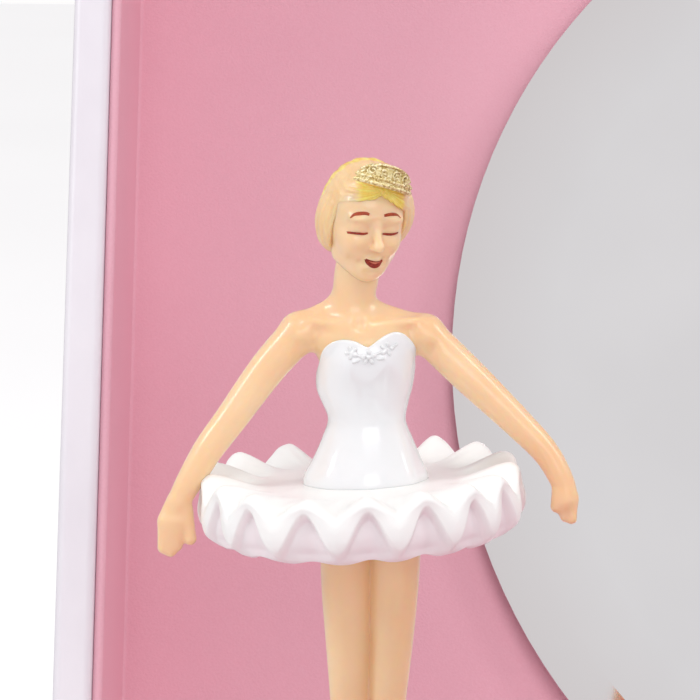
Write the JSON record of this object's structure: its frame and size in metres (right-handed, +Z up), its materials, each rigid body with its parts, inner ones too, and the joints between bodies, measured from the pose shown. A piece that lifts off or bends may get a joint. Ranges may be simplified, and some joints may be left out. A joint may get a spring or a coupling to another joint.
{
  "type": "musical jewellery box",
  "caption": "Hinged wind-up musical jewellery box with a mirror lid and a turning dancer on a spring that folds as the lid shuts.",
  "frame": {"origin": "middle of the underside of the case's felt, on the surface it stands on", "axes": "+Z up, -Y towards the user at the front, +X to the user's right"},
  "size_m": [0.158, 0.1818, 0.1689],
  "materials": {
    "felt": "short grey felt",
    "case_panel": "fibreboard wrapped in pearl-white paper with a plain tone-on-tone pattern",
    "velour": "pink short-pile velour",
    "velour_board": "fibreboard covered in pink velour",
    "velour_roll": "foam roll covered in pink velour",
    "mirror": "silvered glass with a bevelled edge",
    "foam": "white foam mounting pad",
    "hinge_brass": "brass-plated steel",
    "cast_frame": "die-cast grey metal",
    "steel": "plated steel",
    "spring_steel": "bright spring steel",
    "comb_steel": "ground and tempered steel",
    "brass": "machined brass",
    "gilt": "gilt plated metal",
    "brake_plastic": "natural nylon",
    "skin": "moulded translucent flesh-tone plastic with hand-painted hair and face",
    "bodice_white": "gloss white paint",
    "tutu_white": "moulded white plastic",
    "tiara_gold": "gold glitter paint"
  },
  "bodies": {
    "case": {"base_felt": "felt", "case_bottom": "case_panel", "case_front": "case_panel", "case_back": "case_panel", "case_left": "case_panel", "case_right": "case_panel", "case_lining": "velour", "stage_board": "velour_board", "stage_front": "velour_board", "stage_side": "velour_board", "ring_floor": "velour_board", "ring_rolls": "velour_roll", "right_floor": "velour_board", "right_divider": "velour_board", "hinge_case_leaves": "hinge_brass", "hinge_pins": "hinge_brass", "hinge_case_screws": "hinge_brass", "bedplate": "cast_frame", "movement_screws": "steel", "clutch_spring": "spring_steel", "comb": "comb_steel", "comb_screws": "steel", "governor_bracket": "steel", "spindle_bush": "gilt"},
    "lid": {"lid_top": "case_panel", "lid_front": "case_panel", "lid_back": "case_panel", "lid_left": "case_panel", "lid_right": "case_panel", "lid_lining": "velour", "mirror_pad": "foam", "mirror_glass": "mirror", "hinge_lid_leaves": "hinge_brass", "hinge_lid_screws": "hinge_brass"},
    "barrel": {"spring_barrel": "brass", "barrel_cover": "brass", "mainspring": "spring_steel"},
    "key": {"winding_arbor": "steel", "arbor_clip": "steel", "winding_key": "brass"},
    "cylinder": {"cylinder_arbor": "steel", "pinned_cylinder": "brass", "cylinder_pinion": "brass", "cylinder_wheel": "brass"},
    "governor": {"governor_arbor": "steel", "worm_wheel": "brass"},
    "air_brake": {"air_brake": "brake_plastic"},
    "stop_lever": {"stop_lever": "spring_steel"},
    "spindle": {"spindle": "gilt", "spindle_pinion": "brass", "dancer_spring": "spring_steel"},
    "dancer": {"dancer_legs": "skin", "dancer_body": "skin", "bodice": "bodice_white", "tutu": "tutu_white", "tiara": "tiara_gold"}
  },
  "joints": [
    {"name": "lid_hinge", "type": "hinge", "parent": "case", "child": "lid", "pos_m": [0, 0.0584, 0.062], "axis": [1, 0, 0], "range_deg": [0, 112]},
    {"name": "barrel_turn", "type": "hinge", "parent": "case", "child": "barrel", "pos_m": [-0.0555, 0.04, 0.026], "axis": [0, 1, 0], "continuous": true},
    {"name": "key_wind", "type": "hinge", "parent": "case", "child": "key", "pos_m": [-0.0555, 0.06, 0.026], "axis": [0, 1, 0], "continuous": true},
    {"name": "cylinder_turn", "type": "hinge", "parent": "case", "child": "cylinder", "pos_m": [-0.0395, 0.028, 0.026], "axis": [1, 0, 0], "continuous": true},
    {"name": "governor_turn", "type": "hinge", "parent": "case", "child": "governor", "pos_m": [-0.015, 0.03402, 0.03399], "axis": [1, 0, 0], "continuous": true},
    {"name": "air_brake_turn", "type": "hinge", "parent": "case", "child": "air_brake", "pos_m": [-0.00975, 0.02642, 0.03399], "axis": [0, 0, 1], "continuous": true},
    {"name": "stop_swing", "type": "hinge", "parent": "case", "child": "stop_lever", "pos_m": [-0.00975, 0.0505, 0.0445], "axis": [1, 0, 0], "range_deg": [0, 8.2]},
    {"name": "spindle_turn", "type": "hinge", "parent": "case", "child": "spindle", "pos_m": [-0.0555, 0.028, 0.045], "axis": [0, 0, 1], "continuous": true},
    {"name": "dancer_fold", "type": "hinge", "parent": "spindle", "child": "dancer", "pos_m": [-0.0555, 0.028, 0.061], "axis": [1, 0, 0], "range_deg": [0, 77.5], "deforming": ["dancer_spring"]}
  ],
  "couplings": [
    {"joint": "cylinder_turn", "follows": "barrel_turn", "ratio": -4},
    {"joint": "governor_turn", "follows": "barrel_turn", "ratio": 12},
    {"joint": "air_brake_turn", "follows": "barrel_turn", "ratio": 288},
    {"joint": "spindle_turn", "follows": "barrel_turn", "ratio": -4},
    {"joint": "dancer_fold", "follows": "lid_hinge", "ratio": 0.69},
    {"joint": "stop_swing", "follows": "lid_hinge", "ratio": 0.071429}
  ]
}
